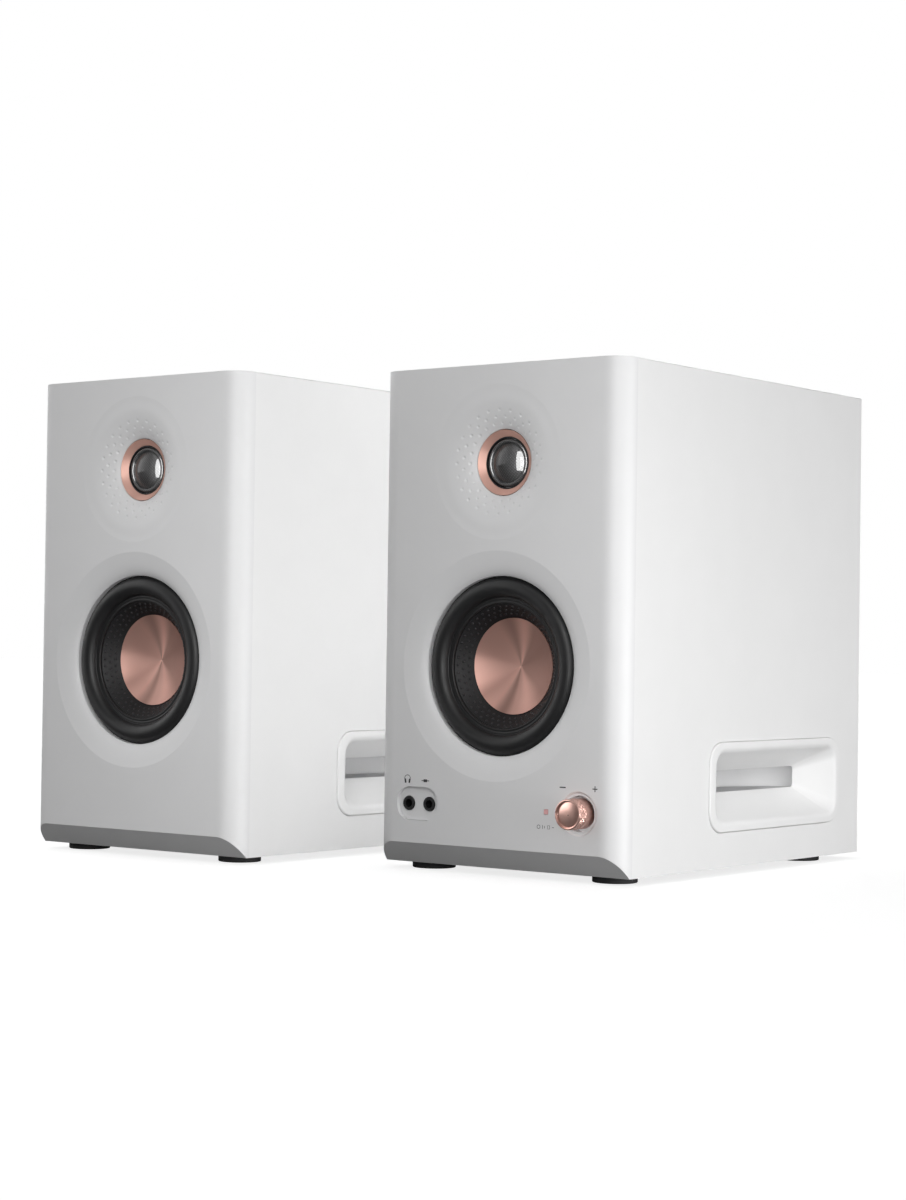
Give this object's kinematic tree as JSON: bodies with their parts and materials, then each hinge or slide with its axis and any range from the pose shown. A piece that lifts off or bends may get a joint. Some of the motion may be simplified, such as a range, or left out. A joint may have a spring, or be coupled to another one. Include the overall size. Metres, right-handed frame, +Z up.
{
  "type": "desktop speakers",
  "caption": "Pair of white two-way desktop speakers, one active with a volume knob and front sockets, one passive, with flared side ports and rose-gold accents.",
  "frame": {"origin": "bottom centre of the bounding box of the pair, on the desk", "axes": "+X to the right across the pair, +Y to the rear, +Z up; the drivers face -Y"},
  "size_m": [0.3012, 0.2562, 0.216],
  "materials": {
    "cabinet_wrap": "satin white wrap on fibreboard",
    "baffle_plastic": "fine matt white",
    "port_plastic": "smooth satin white",
    "black_rubber": "matt",
    "black_steel": "black powder coat",
    "surround_rubber": "soft satin",
    "spider_cloth": "resin-treated cloth",
    "cone_paper": "pressed, matt",
    "rose_gold": "spun and anodised",
    "copper_wire": "enamelled wire",
    "plated_steel": "zinc plated",
    "ferrite": "ground",
    "black_screw": "black oxide",
    "black_plastic": "satin",
    "dome_silk": "coated weave",
    "panel_paint": "fine-texture white paint",
    "circuit_board": "solder mask",
    "core_iron": "varnished laminations",
    "jack_metal": "nickel plated",
    "jack_plastic": "satin",
    "knob_plastic": "satin",
    "status_light": "diffusing"
  },
  "bodies": {
    "active": {"active_amplifier_board": "circuit_board", "active_baffle": "baffle_plastic", "active_cabinet": "cabinet_wrap", "active_driver_screws": "black_screw", "active_feet": "black_rubber", "active_front_board": "circuit_board", "active_front_jack_plate": "baffle_plastic", "active_front_jacks": "jack_plastic", "active_link_jack": "jack_metal", "active_port_duct": "port_plastic", "active_port_flare": "port_plastic", "active_power_inlet_module": "black_plastic", "active_rca_jacks": "jack_metal", "active_rear_panel": "panel_paint", "active_rear_panel_screws": "black_screw", "active_status_led": "status_light", "active_tone_pots": "plated_steel", "active_transformer": "core_iron", "active_trs_jacks": "jack_plastic", "active_tweeter_housing": "black_plastic", "active_tweeter_motor": "plated_steel", "active_tweeter_ring": "rose_gold", "active_volume_encoder": "plated_steel", "active_woofer_basket": "black_steel", "active_woofer_magnet": "ferrite", "active_woofer_spider": "spider_cloth", "active_woofer_surround": "surround_rubber", "active_woofer_top_plate": "plated_steel", "active_woofer_yoke": "plated_steel"},
    "active_woofer_motion": {"active_woofer_cone": "cone_paper", "active_woofer_dust_cap": "rose_gold", "active_woofer_voice_coil": "copper_wire"},
    "active_tweeter_motion": {"active_tweeter_dome": "dome_silk"},
    "passive": {"passive_baffle": "baffle_plastic", "passive_cabinet": "cabinet_wrap", "passive_driver_screws": "black_screw", "passive_feet": "black_rubber", "passive_link_jack": "jack_metal", "passive_port_duct": "port_plastic", "passive_port_flare": "port_plastic", "passive_terminal_plate": "black_plastic", "passive_tweeter_housing": "black_plastic", "passive_tweeter_motor": "plated_steel", "passive_tweeter_ring": "rose_gold", "passive_woofer_basket": "black_steel", "passive_woofer_magnet": "ferrite", "passive_woofer_spider": "spider_cloth", "passive_woofer_surround": "surround_rubber", "passive_woofer_top_plate": "plated_steel", "passive_woofer_yoke": "plated_steel"},
    "passive_woofer_motion": {"passive_woofer_cone": "cone_paper", "passive_woofer_dust_cap": "rose_gold", "passive_woofer_voice_coil": "copper_wire"},
    "passive_tweeter_motion": {"passive_tweeter_dome": "dome_silk"},
    "volume_push": {"active_volume_plunger": "black_plastic"},
    "volume_turn": {"active_volume_knob": "rose_gold", "active_volume_shaft": "plated_steel"},
    "treble_turn": {"active_treble_knob": "knob_plastic"},
    "bass_turn": {"active_bass_knob": "knob_plastic"},
    "power_rock": {"active_power_rocker": "black_plastic"}
  },
  "joints": [
    {"name": "passive_slide", "type": "slide", "parent": "active", "child": "passive", "axis": [1, 0, 0], "range_m": [-0.3, 0.03]},
    {"name": "active_woofer_travel", "type": "slide", "parent": "active", "child": "active_woofer_motion", "axis": [0, 1, 0], "range_m": [-0.0025, 0.0025], "stiffness_N_per_m": 1200, "deforming": ["active_woofer_surround", "active_woofer_spider"]},
    {"name": "active_tweeter_travel", "type": "slide", "parent": "active", "child": "active_tweeter_motion", "axis": [0, 1, 0], "range_m": [-0.0003, 0.0003], "stiffness_N_per_m": 4000},
    {"name": "passive_woofer_travel", "type": "slide", "parent": "passive", "child": "passive_woofer_motion", "axis": [0, 1, 0], "range_m": [-0.0025, 0.0025], "stiffness_N_per_m": 1200, "deforming": ["passive_woofer_surround", "passive_woofer_spider"]},
    {"name": "passive_tweeter_travel", "type": "slide", "parent": "passive", "child": "passive_tweeter_motion", "axis": [0, 1, 0], "range_m": [-0.0003, 0.0003], "stiffness_N_per_m": 4000},
    {"name": "volume_press", "type": "slide", "parent": "active", "child": "volume_push", "axis": [0, 1, 0], "range_m": [0, 0.0005], "stiffness_N_per_m": 3000, "springref_m": -0.0003},
    {"name": "volume_rotate", "type": "hinge", "parent": "volume_push", "child": "volume_turn", "pos_m": [0.13, -0.0879, 0.029], "axis": [0, 1, 0], "continuous": true},
    {"name": "treble_rotate", "type": "hinge", "parent": "active", "child": "treble_turn", "pos_m": [0.0643, 0.1221, 0.179], "axis": [0, -1, 0], "range_deg": [-150, 150]},
    {"name": "bass_rotate", "type": "hinge", "parent": "active", "child": "bass_turn", "pos_m": [0.1083, 0.1221, 0.179], "axis": [0, -1, 0], "range_deg": [-150, 150]},
    {"name": "power_switch", "type": "hinge", "parent": "active", "child": "power_rock", "pos_m": [0.1063, 0.1156, 0.043], "axis": [-1, 0, 0], "range_deg": [0, 16]}
  ]
}
